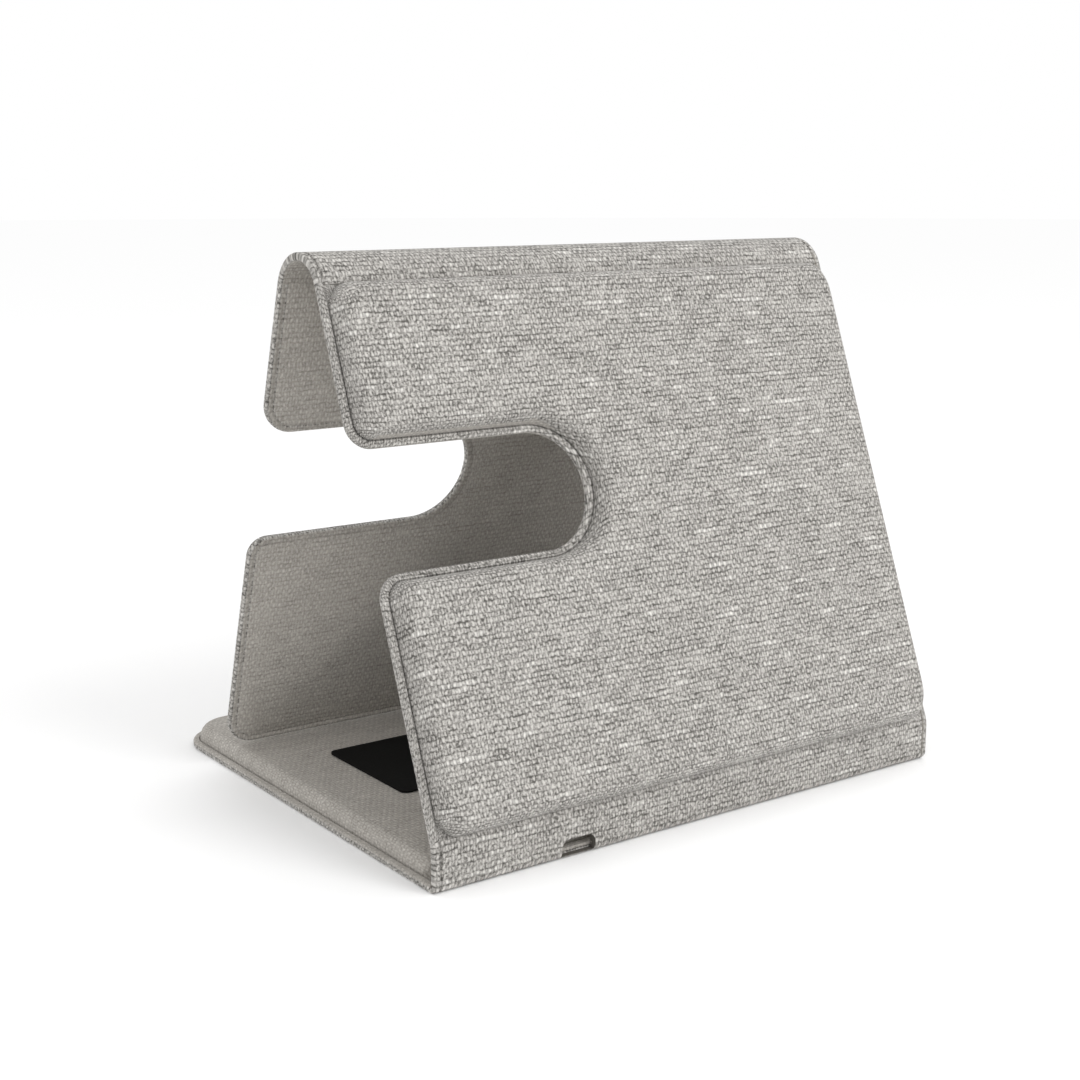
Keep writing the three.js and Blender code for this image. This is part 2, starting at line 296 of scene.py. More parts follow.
def grid_faces(obj, height, near, far):
    """Cuts the last, large face into a grid, so that it can swell."""
    in_edit(obj)
    choose(obj, "FACE", lambda c: abs(c.z - height) < 1e-4)
    lines = [(0, x) for x in np.arange(-half_wide + GRID, half_wide, GRID)]
    lines += [(1, y) for y in np.arange(near + GRID, far, GRID)]
    for axis, value in lines:
        normal = [0, 0, 0]
        normal[axis] = 1
        choose(obj, "FACE", lambda c: abs(c.z - height) < 1e-4)
        bpy.ops.mesh.bisect(plane_co=[value * n for n in normal], plane_no=normal, threshold=1e-5)
    out_of_edit()


def open_edges(obj):
    """Counts the edges that don't have exactly two faces, which a closed piece has none of."""
    uses = {}
    for face in obj.data.polygons:
        for key in face.edge_keys:
            uses[key] = uses.get(key, 0) + 1
    return sum(1 for n in uses.values() if n != 2)


def round_pad_corner(obj, x, y, top):
    """Rounds one corner of the pad. The ridge that climbs the rings at that corner is bevelled."""
    in_edit(obj)
    choose(obj, "EDGE", lambda c: False)
    out_of_edit()
    for edge in obj.data.edges:
        ends = [obj.data.vertices[i].co for i in edge.vertices]
        insets = [(abs(x - c.x), abs(y - c.y)) for c in ends]
        on_ridge = all(abs(a - b) < 0.01 and LINE_IN - 0.01 < a < 9 for a, b in insets)
        edge.select = on_ridge and all(c.z > 0 for c in ends) and max(c.z for c in ends) <= top + 0.01
    bpy.ops.object.mode_set(mode="EDIT")
    bpy.ops.mesh.select_mode(type="EDGE")
    bpy.ops.mesh.bevel(offset=PAD_CORNER, segments=7, affect="EDGES", clamp_overlap=False)
    out_of_edit()


# %% [markdown]
# ## The cloth's own coordinates
# The weave has to run on from panel to panel and over the folds as one strip of cloth does, and it has to
# follow the pads' shoulders down without stretching. So every piece gets a UV map in metres of cloth: u is the
# distance along the thread that crosses the stand, and v the distance along the strip, counted from the crease
# between base and spine. Where the cloth goes down a shoulder or an edge, the map moves outwards by the drop.


# %% Map the cloth
def walls_of(obj):
    """The walls of a plain plate: where each starts, where it ends and which way is outwards."""
    starts, ends, outward = [], [], []
    for face in obj.data.polygons:
        if abs(face.normal.z) < 0.01:
            low = [obj.data.vertices[i].co for i in face.vertices if obj.data.vertices[i].co.z < 0]
            starts.append(low[0][:2])
            ends.append(low[1][:2])
            outward.append(face.normal[:2])
    return np.array(starts), np.array(ends), np.array(outward)


def away_from(walls, flat):
    """For each point, its distance from the outline and the outward direction there. Near a corner the
    direction turns smoothly from one wall's to the next wall's."""
    starts, ends, outward = walls
    along = ends - starts
    length = (along**2).sum(axis=1)
    distance, direction = np.zeros(len(flat)), np.zeros((len(flat), 2))
    for i, point in enumerate(flat):
        share = np.clip(((point - starts) * along).sum(axis=1) / length, 0, 1)
        gaps = np.sqrt(((starts + along * share[:, None] - point) ** 2).sum(axis=1))
        distance[i] = gaps.min()
        pull = (outward * np.exp(distance[i] - gaps)[:, None]).sum(axis=0)
        direction[i] = pull / (np.linalg.norm(pull) + 1e-9)
    return distance, direction


def write_map(obj, places):
    """Writes the cloth map from one place for each corner of each face, in millimetres of cloth."""
    layer = obj.data.uv_layers.get("cloth") or obj.data.uv_layers.new(name="cloth")
    layer.data.foreach_set("uv", (places * METRES).astype(np.float32).ravel())


def corner_vertices(obj):
    index = np.zeros(len(obj.data.loops), int)
    obj.data.loops.foreach_get("vertex_index", index)
    return index


def mark(obj, name, values):
    layer = obj.data.attributes.get(name) or obj.data.attributes.new(name, "FLOAT", "POINT")
    layer.data.foreach_set("value", np.asarray(values, np.float32))


def place(obj, matrix):
    """Shrinks a piece from millimetres to metres and carries it to its place on the stand."""
    bpy.ops.object.select_all(action="DESELECT")
    obj.select_set(True)
    bpy.context.view_layer.objects.active = obj
    obj.matrix_world = matrix @ Matrix.Scale(METRES, 4)
    bpy.ops.object.transform_apply(location=True, rotation=True, scale=True)
    bpy.ops.object.shade_smooth_by_angle(angle=math.radians(40))


# %% [markdown]
# ## A panel of cloth
# Every panel is made by the same steps, so they are one function. The cloth of a real panel is glued to both
# sides of its board and rolled round the edges, and where a pad is, foam lies under the upper skin. The heat
# press that closes the edge leaves a flat rim with a fine sunk line inside it, and the pad rises from that line.
#
# At a fold the panel isn't hemmed: the cloth simply runs on. So the rings that cross a fold edge are pushed
# out to it, which leaves a flat end that the fold's band meets all the way across.


# %% The steps that make a panel
def push_ends(obj, ends, pad_start):
    """Slides the rings near a fold out to it, so that the rolled edge there is flat and the pad starts at
    pad_start, and fills the pressed line back up where it would cross the strip beside a fold."""
    in_edit(obj)
    for side in (-1, 1):
        bisect_at(0, side * (half_wide - LINE_IN - LINE_SLOPE))
    out_of_edit()
    from_ring = [0, EDGE_ROLL, LINE_IN, 9.0]
    to_place = [0, 0, pad_start or EDGE_ROLL, 9.0]
    line_levels = half_thick - LINE_DEPTH - 0.01, half_thick - LINING_LINE_DEPTH + 0.01
    for vertex in obj.data.vertices:
        for end, way in ends:
            inwards = (vertex.co.y - end) * way
            if inwards > from_ring[-1]:
                continue
            crosses = inwards < LINE_IN + 0.01 and abs(vertex.co.x) < half_wide - LINE_IN - 0.01
            on_line = inwards > RIM + 0.01 and line_levels[0] < abs(vertex.co.z) < line_levels[1]
            if crosses and on_line:
                sunk = FOLD_LINE_DEPTH if pad_start and vertex.co.z > 0 else 0
                vertex.co.z = math.copysign(half_thick - sunk, vertex.co.z)
            vertex.co.y = end + way * float(np.interp(inwards, from_ring, to_place))


def swell(obj, walls, level, crown, seed):
    """Lets the pad's face stand up between its edges, with the slight unevenness of foam under cloth."""
    flat = np.array([v.co[:2] for v in obj.data.vertices])
    distance, _ = away_from(walls, flat)
    for vertex, inwards in zip(obj.data.vertices, distance):
        if vertex.co.z > level - 0.6:
            rise = 1 - math.exp(-max(0.0, inwards - LINE_IN - SHOULDER / 2) / 7)
            soft = noise.noise(Vector((vertex.co.x, vertex.co.y, seed)) / 23)
            vertex.co.z += crown * rise + 0.12 * soft * rise


def map_panel(obj, walls, level, strip_start, way):
    """The cloth map, with the lining's side mapped flat, and the mask for the painted shade in the pressed line's
    groove.
    """
    co = np.array([v.co for v in obj.data.vertices])
    distance, direction = away_from(walls, co[:, :2])
    drop = np.where(distance < LINE_IN + SHOULDER + 0.5, level - co[:, 2], 0.0)
    over = co[:, :2] + direction * drop[:, None]
    index = corner_vertices(obj)
    lining = np.repeat(
        [face.center.z < -half_thick + EDGE_ROLL for face in obj.data.polygons],
        [face.loop_total for face in obj.data.polygons],
    )
    flat = np.where(lining[:, None], co[index, :2], over[index])
    write_map(obj, np.column_stack((flat[:, 0], strip_start + way * flat[:, 1])))
    # How deep the pressed line is sunk beside the rim is the mask for the painted shade in its groove.
    beside = (distance > EDGE_ROLL + 0.01) & (distance < LINE_IN + LINE_SLOPE)
    sunk = np.clip((half_thick - abs(co[:, 2])) / LINE_DEPTH, 0, 1)
    mark(obj, "pressed_line_shade", np.where(beside, sunk, 0))


def panel(name, ends, runs_on, slot, corners, pad, pad_start, strip, matrix):
    """One panel's cloth, between ends (near, far) along the strip. runs_on says which of them are folds, slot
    is its low and high edge, its end and the radii at its mouth, and corners are (x, y, radius)."""
    near, far = ends
    wall_top = half_thick - EDGE_ROLL
    obj = blank(name, near, far, -wall_top)
    if slot:
        cut_slot(obj, slot[:3])
        round_slot(obj, slot[:3], *slot[3:])
    for x, y, radius in corners:
        round_corner(obj, x, y, radius)
    lift(obj, 2 * wall_top)
    walls = walls_of(obj)
    level = half_thick + pad
    foot = half_thick - LINE_DEPTH + PAD_STEP
    pad_side = [(0.06, PAD_STEP)] + swollen(SHOULDER, level - foot)
    over_the_line = pad_side if pad else [(LINE_SLOPE, LINE_DEPTH)]
    rings(obj, wall_top, rolled(EDGE_ROLL) + pressed_line(LINE_DEPTH) + over_the_line)
    lining_line = pressed_line(LINING_LINE_DEPTH) + [(LINE_SLOPE, LINING_LINE_DEPTH)]
    rings(obj, -wall_top, rolled(EDGE_ROLL) + lining_line)
    folds = [(end, way) for end, way, on in ((near, 1, runs_on[0]), (far, -1, runs_on[1])) if on]
    if pad:
        for end, _ in folds:
            for x in (-half_wide, half_wide):
                round_pad_corner(obj, x, end, level)
        grid_faces(obj, level, near, far)
        swell(obj, walls, level, CROWN, seed=near)
    push_ends(obj, folds, pad_start)
    map_panel(obj, walls, level, *strip)
    print(name, len(obj.data.polygons), "faces,", open_edges(obj), "open edges")
    place(obj, matrix)
    return obj


# %% [markdown]
# ## Where each piece starts on the strip
# The folds are arcs round the centres that the frame's folds have. The strip's length along the middle of its
# thickness gives every piece its start on the cloth.

# %% Centres, angles and starts
front_out, back_out = front_place.to_3x3().col[2], back_place.to_3x3().col[2]
front_angle = math.atan2(front_out.z, front_out.y)
back_angle = math.atan2(back_out.z, back_out.y)
bottom_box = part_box("base_spine_fold")
BOTTOM_RADIUS = bottom_box[1].z / METRES
bottom_centre = Vector((0, bottom_box[1].y, bottom_box[1].z))
spine_centre = front_place.translation - front_out * (SPINE_RADIUS - half_thick) * METRES
front_top = front_place @ Vector((0, front_length * METRES, 0))
arch_centre = front_top + front_out * (half_thick - ARCH_RADIUS) * METRES
FOLD_SWEEP = math.radians(60)

spine_length = (spine_centre.z - bottom_centre.z) / METRES
start_of = {"spine": (BOTTOM_RADIUS - half_thick) * math.pi / 2}
start_of["front_fold"] = start_of["spine"] + spine_length
start_of["front"] = start_of["front_fold"] + (SPINE_RADIUS - half_thick) * (math.pi - front_angle)
start_of["arch"] = start_of["front"] + front_length
start_of["back"] = start_of["arch"] + (ARCH_RADIUS - half_thick) * (front_angle - back_angle)
print("starts along the strip:", {k: round(v, 1) for k, v in start_of.items()})

# %% [markdown]
# ## The padded front panel
# This is the face that everyone sees. On the real stand a sheet of foam, its edges skived thin, is glued to the
# board, and the cloth is pressed down all round it, so that it rises from the rim in a soft shoulder and is
# flat on top. Vertex moves alone could give such a crown, but cloth that is held at its edges and pressed from
# below finds its own. So the rings make the shoulder, and a short cloth simulation with air pressure inside
# lifts the grid on top. The foam is thin and firm, so the lift is kept to under half a millimetre.

# %% Puff the cloth over its foam
def puff_up(obj, pad_face, inwards_of):
    """A short cloth simulation with air pressure inside. Only the pad's face is free to move, and all moves are
    scaled so that the largest is PUFF_LIMIT."""
    held = obj.vertex_groups.new(name="held")
    held.add([v.index for v in obj.data.vertices if not pad_face(v.co)], 1.0, "REPLACE")
    cloth = obj.modifiers.new("puff", "CLOTH")
    settings = cloth.settings
    settings.vertex_group_mass = "held"
    settings.use_pressure = True
    settings.uniform_pressure_force = 4.0
    settings.effector_weights.gravity = 0.0
    settings.tension_stiffness = settings.compression_stiffness = 15.0
    settings.bending_stiffness = 0.5
    start = np.array([v.co for v in obj.data.vertices])
    for step in range(1, 21):
        bpy.context.scene.frame_set(step)
    blown = obj.evaluated_get(bpy.context.evaluated_depsgraph_get())
    moves = np.array([v.co for v in blown.data.vertices]) - start
    obj.modifiers.remove(cloth)
    obj.vertex_groups.remove(held)
    bpy.context.scene.frame_set(1)
    moves = np.outer(moves @ np.array(inwards_of), inwards_of)
    largest = np.linalg.norm(moves, axis=1).max()
    scale = min(1.0, PUFF_LIMIT * METRES / max(largest, 1e-9))
    for vertex, move in zip(obj.data.vertices, moves):
        vertex.co += Vector(move * scale)
    print(f"{obj.name} puffed by {1000 * largest:.2f} mm, kept to {1000 * largest * scale:.2f} mm")


# %% Make the front panel
front_cloth = panel(
    "front_panel_cloth",
    ends=(0, front_length),
    runs_on=(True, True),
    slot=(*front_slot, SLOT_CORNER, SLOT_CORNER),
    corners=[],
    pad=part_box("base_lining")[1].z / METRES - 2 * half_thick + PUFF,
    pad_start=PAD_START["front"],
    strip=(start_of["front"], 1),
    matrix=front_place,
)

front_out = front_place.to_3x3().col[2]
front_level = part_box("base_lining")[1].z / METRES - half_thick + PUFF - 0.05
puff_up(
    front_cloth,
    lambda c: (c - front_place.translation).dot(front_out) > front_level * METRES,
    tuple(front_out),
)

# %% [markdown]
# ## The thin back panel
# The back panel is only the board between two skins. It has the same rolled edge and the same pressed line, on
# both sides, and wider corners, because it is the edge that a hand takes hold of.

# %% Make the back panel
back_cloth = panel(
    "back_panel_cloth",
    ends=(0, back_length),
    runs_on=(True, False),
    slot=(*back_slot, BACK_MOUTH, BACK_CORNERS["foot"]),
    corners=[(x, back_length, BACK_CORNERS["far"]) for x in (-half_wide, half_wide)],
    pad=0,
    pad_start=0,
    strip=(start_of["back"], 1),
    matrix=back_place,
)

# %% [markdown]
# ## The padded base
# The base is made like the front panel, but its pad faces the inside of the tent and its far corners are round.
# It lies flat, so its place is only a lift by half the laminate. A device and the grip pad rest on it, so it
# starts a little lower than the foam and puffs up to the foam's height.

# %% Make the base
base_near, base_far = bottom_centre.y / METRES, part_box("base_cover")[1].y / METRES
base_cloth = panel(
    "base_cloth",
    ends=(base_near, base_far),
    runs_on=(True, False),
    slot=None,
    corners=[(x, base_far, BASE_CORNER) for x in (-half_wide, half_wide)],
    pad=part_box("base_lining")[1].z / METRES - 2 * half_thick - STARTS_LOWER,
    pad_start=PAD_START["base"],
    strip=(base_near, -1),
    matrix=Matrix.Translation((0, 0, half_thick * METRES)),
)

base_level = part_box("base_lining")[1].z / METRES - STARTS_LOWER - 0.05
puff_up(base_cloth, lambda c: c.z > base_level * METRES, (0, 0, 1))

# %% [markdown]
# ## The folds and the narrow strips
# Between the panels the cloth runs on without a board, so it is thinner and it bends. A fold could be bent with
# a modifier, but spinning a section round the fold's centre gives the arc exactly. The section is the
# strip's end view: rolled edges left and right, with the pressed line just inside them, so that the rim
# of the panels goes on over every fold.


# %% The strip's end view
def section(name, outer, thick):
    """The strip seen end on, flat in x and y, with its outer face at y = outer."""
    bpy.ops.object.select_all(action="DESELECT")
    bpy.ops.mesh.primitive_plane_add(size=1, location=(0, outer - thick / 2, 0))
    obj = bpy.context.object
    obj.name = name
    obj.data.name = name
    obj.scale = (2 * half_wide, thick, 1)
    bpy.ops.object.transform_apply(location=True, rotation=True, scale=True)
    for x in (-half_wide, half_wide):
        for y in (outer, outer - thick):
            round_corner(obj, x, y, min(EDGE_ROLL, thick * 0.45), steps=4)
    in_edit(obj)
    for side in (-1, 1):
        for inwards in (RIM, RIM + LINE_SLOPE, RIM + 2 * LINE_SLOPE, RIM + 3 * LINE_SLOPE):
            bisect_at(0, side * (half_wide - inwards))
    line = half_wide - RIM - 1.5 * LINE_SLOPE
    choose(obj, "VERT", lambda c: abs(c.y - outer) < 0.01 and abs(abs(c.x) - line) < 0.7 * LINE_SLOPE)
    bpy.ops.transform.translate(value=(0, -LINE_DEPTH, 0))
    bpy.ops.mesh.select_all(action="SELECT")
    bpy.ops.mesh.dissolve_faces()
    out_of_edit()
    return obj


def mark_line_by_x(obj, outer_distance):
    """Marks where shade is painted in the pressed line: the vertices on the line's two columns that stand sunk just
    under the outer face.
    """
    values = []
    for vertex in obj.data.vertices:
        across = abs(abs(vertex.co.x) - (half_wide - RIM - 1.5 * LINE_SLOPE)) < 0.7 * LINE_SLOPE
        values.append(across and abs(outer_distance(vertex.co) - LINE_DEPTH) < 0.02)
    mark(obj, "pressed_line_shade", values)


# %% A fold's band
def band(name, centre, radius, thick, low, high, strip_start, step=math.radians(4)):
    """A band of cloth round centre, between two angles in the y-z plane, running from high to low. Spin turns
    against the axis, so its angle is negative here."""
    obj = section(name, radius, thick)
    in_edit(obj)
    bpy.ops.mesh.select_all(action="SELECT")
    steps = max(4, round((high - low) / step))
    bpy.ops.mesh.spin(steps=steps, angle=low - high, center=(0, 0, 0), axis=(1, 0, 0))
    bpy.ops.mesh.select_all(action="SELECT")
    bpy.ops.mesh.remove_doubles(threshold=1e-4)
    bpy.ops.mesh.normals_make_consistent(inside=False)
    out_of_edit()
    co = np.array([v.co for v in obj.data.vertices])
    turn = np.arctan2(co[:, 2], co[:, 1])
    along = strip_start + (radius - half_thick) * (high - low - turn)
    write_map(obj, np.column_stack((co[:, 0], along))[corner_vertices(obj)])
    mark_line_by_x(obj, lambda c: radius - math.hypot(c.y, c.z))
    print(name, len(obj.data.polygons), "faces,", open_edges(obj), "open edges, turned to", round(math.degrees(turn.max())))
    place(obj, Matrix.Translation(centre) @ Matrix.Rotation(low, 4, "X"))
    return obj


def bend_between(obj):
    """Bakes the band's place into its mesh."""
    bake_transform(obj)


# %% Make the four folds
FOLDS = {
    "bottom_fold_cloth": ("base", "spine", bottom_centre, BOTTOM_RADIUS, math.pi, 1.5 * math.pi, 0),
    "front_fold_cloth": ("spine", "front", spine_centre, SPINE_RADIUS, front_angle, math.pi, start_of["front_fold"]),
    "top_front_fold_cloth": (
        "front", "top_strip", arch_centre, ARCH_RADIUS, front_angle - FOLD_SWEEP, front_angle, start_of["arch"]
    ),
    "top_back_fold_cloth": (
        "top_strip", "back", arch_centre, ARCH_RADIUS, back_angle, back_angle + FOLD_SWEEP,
        start_of["back"] - (ARCH_RADIUS - half_thick) * FOLD_SWEEP,
    ),
}
folds = {}
thickness = {name: 2 * half_thick for name in FOLDS} | {"bottom_fold_cloth": BOTTOM_FOLD_CLOTH}
for name, (_, _, centre, radius, low, high, strip_start) in FOLDS.items():
    folds[name] = band(name, centre, radius, thickness[name], low, high, strip_start)

# %% [markdown]
# ## The top strip and the spine
# Both are stiff and narrow. The top strip is a slice of the same arch, with a batten in it. The spine is
# straight, so its section is simply extruded, and the charging cable's notch is cut through it and through
# the fold below with a rounded cutter and the Boolean modifier.

# %% Make the top strip and the spine
top_cloth = band(
    "top_strip_cloth", arch_centre, ARCH_RADIUS, 2 * half_thick, back_angle + FOLD_SWEEP, front_angle - FOLD_SWEEP,
    start_of["arch"] + (ARCH_RADIUS - half_thick) * FOLD_SWEEP,
)
spine_cloth = section("spine_cloth", half_thick, 2 * half_thick)
in_edit(spine_cloth)
bpy.ops.mesh.select_all(action="SELECT")
bpy.ops.mesh.extrude_region_move(TRANSFORM_OT_translate={"value": (0, 0, -spine_length)})
bpy.ops.mesh.select_all(action="SELECT")
bpy.ops.mesh.normals_make_consistent(inside=False)
out_of_edit()
spine_co = np.array([v.co for v in spine_cloth.data.vertices])
spine_map = np.column_stack((spine_co[:, 0], start_of["spine"] - spine_co[:, 2]))
write_map(spine_cloth, spine_map[corner_vertices(spine_cloth)])
mark_line_by_x(spine_cloth, lambda c: half_thick - c.y)
spine_middle = Vector((0, spine_out[0].y + half_thick * METRES, bottom_centre.z))
place(spine_cloth, Matrix.Translation(spine_middle) @ Matrix.Rotation(math.pi, 4, "X"))
print("spine", round(spine_length, 1), "mm high,", open_edges(spine_cloth), "open edges")

# %% Cut the cable's notch
NOTCH = {"middle": -39.0, "width": 9.6, "low": 0.7, "high": 4.8, "corner": 2.0}


def notch_cutter():
    bpy.ops.object.select_all(action="DESELECT")
    tall = NOTCH["high"] - NOTCH["low"]
    middle = Vector((NOTCH["middle"], spine_out[0].y / METRES - 1, (NOTCH["high"] + NOTCH["low"]) / 2))
    bpy.ops.mesh.primitive_cube_add(size=1, location=middle * METRES)
    obj = bpy.context.object
    obj.scale = (NOTCH["width"] * METRES, 8 * METRES, tall * METRES)
    bpy.ops.object.transform_apply(location=True, rotation=True, scale=True)
    top = NOTCH["high"] * METRES
    choose(obj, "EDGE", lambda c: abs(c.z - top) < 1e-6 and abs(c.x - middle.x * METRES) > 1e-3)
    bpy.ops.mesh.bevel(offset=NOTCH["corner"] * METRES, segments=8, affect="EDGES")
    out_of_edit()
    return obj


cutter = notch_cutter()
for obj in (spine_cloth, folds["bottom_fold_cloth"]):
    bpy.ops.object.select_all(action="DESELECT")
    bpy.context.view_layer.objects.active = obj
    obj.select_set(True)
    cut = obj.modifiers.new("notch", "BOOLEAN")
    cut.operation, cut.object, cut.solver = "DIFFERENCE", cutter, "EXACT"
    bpy.ops.object.modifier_apply(modifier=cut.name)
    print(obj.name, "with its notch:", len(obj.data.polygons), "faces,", open_edges(obj), "open edges")
bpy.data.objects.remove(cutter)

# %% [markdown]
# ## What moves with what
# Each panel's cloth rides on its board, and stands for the plain skins of the frame, which are hidden. Each
# fold's band is baked in place and stands for the frame's fold, which is hidden.

# %% Join the pieces to the frame
RIDES = {
    "base": (base_cloth, ("base_cover", "base_lining", "base_foam")),
    "spine": (spine_cloth, ("spine_cover", "spine_lining")),
    "front": (front_cloth, ("front_cover", "front_lining", "front_foam")),
    "top_strip": (top_cloth, ("top_cover", "top_lining", "top_batten")),
    "back": (back_cloth, ("back_cover", "back_lining")),
}
for body, (obj, nodes) in RIDES.items():
    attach(obj, body)
    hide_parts(*nodes)

STANDS_FOR = {
    "bottom_fold_cloth": "base_spine_fold",
    "front_fold_cloth": "spine_front_fold",
    "top_front_fold_cloth": "front_top_fold",
    "top_back_fold_cloth": "top_back_fold",
}
for name, (from_body, to_body, centre, radius, low, high, _) in FOLDS.items():
    bend_between(folds[name])
    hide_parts(STANDS_FOR[name])

# %% [markdown]
# ## The woven cloth
# The cover is a plain weave of thick, uneven yarn. Across the stand run the slubby threads that show most: a
# bump every second warp thread, staggered from row to row, and here and there a pale streak one thread high.
# Such a weave could be a picture, but here it is built from waves: the product of two cosines is a
# chequerboard of bumps, positive where the cross thread is on top and negative where the long thread is. Noise
# that is stretched along a thread, and steps from thread to thread, gives each thread a tone of its own.
# The gaps between the threads are darkened in the colour by the threads' height: painted shade in the weave's
# crevices.


# %% Node helpers
class Nodes:
    """A short way to write node trees: every method adds a node and returns its output."""

    def __init__(self, name):
        self.material = bpy.data.materials.new(name)
        self.material.use_nodes = True
        self.tree = self.material.node_tree
        self.tree.nodes.clear()

    def add(self, kind, inputs=(), output=0, **settings):
        node = self.tree.nodes.new(kind)
        for key, value in settings.items():
            setattr(node, key, value)
        for key, value in dict(inputs).items():
            socket = node.inputs[key]
            if isinstance(value, bpy.types.NodeSocket):
                self.tree.links.new(value, socket)
            else:
                socket.default_value = value
        return node.outputs[output] if node.outputs else None

    def math(self, operation, *values, clamp=False):
        return self.add("ShaderNodeMath", enumerate(values), operation=operation, use_clamp=clamp)

    def vector(self, x=0.0, y=0.0, z=0.0):
        return self.add("ShaderNodeCombineXYZ", {"X": x, "Y": y, "Z": z})

    def noise(self, place, scale, detail=2.0, rough=0.5, colour=False):
        inputs = {"Vector": place, "Scale": scale, "Detail": detail, "Roughness": rough}
        return self.add("ShaderNodeTexNoise", inputs, 1 if colour else 0, noise_dimensions="3D")

    def between(self, value, low, high, to_low=0.0, to_high=1.0):
        inputs = {0: value, 1: low, 2: high, 3: to_low, 4: to_high}
        return self.add("ShaderNodeMapRange", inputs, interpolation_type="SMOOTHSTEP")

    def mix(self, share, a, b):
        node = self.tree.nodes.new("ShaderNodeMix")
        node.data_type = "RGBA"
        for socket, value in ((node.inputs[0], share), (node.inputs[6], a), (node.inputs[7], b)):
            if isinstance(value, bpy.types.NodeSocket):
                self.tree.links.new(value, socket)
            else:
                socket.default_value = value
        return node.outputs[2]

    def finish(self, colour, bump=None, **sockets):
        shader = self.tree.nodes.new("ShaderNodeBsdfPrincipled")
        if isinstance(colour, bpy.types.NodeSocket):
            self.tree.links.new(colour, shader.inputs["Base Color"])
        else:
            shader.inputs["Base Color"].default_value = colour
        if bump is not None:
            self.tree.links.new(bump, shader.inputs["Normal"])
        for key, value in sockets.items():
            socket = shader.inputs[key.replace("_", " ")]
            if isinstance(value, bpy.types.NodeSocket):
                self.tree.links.new(value, socket)
            else:
                socket.default_value = value
        self.add("ShaderNodeOutputMaterial", {"Surface": shader.outputs[0]})
        return self.material


# %% The weave
WARP_STEP = 0.8
ROW_STEP = 1.27


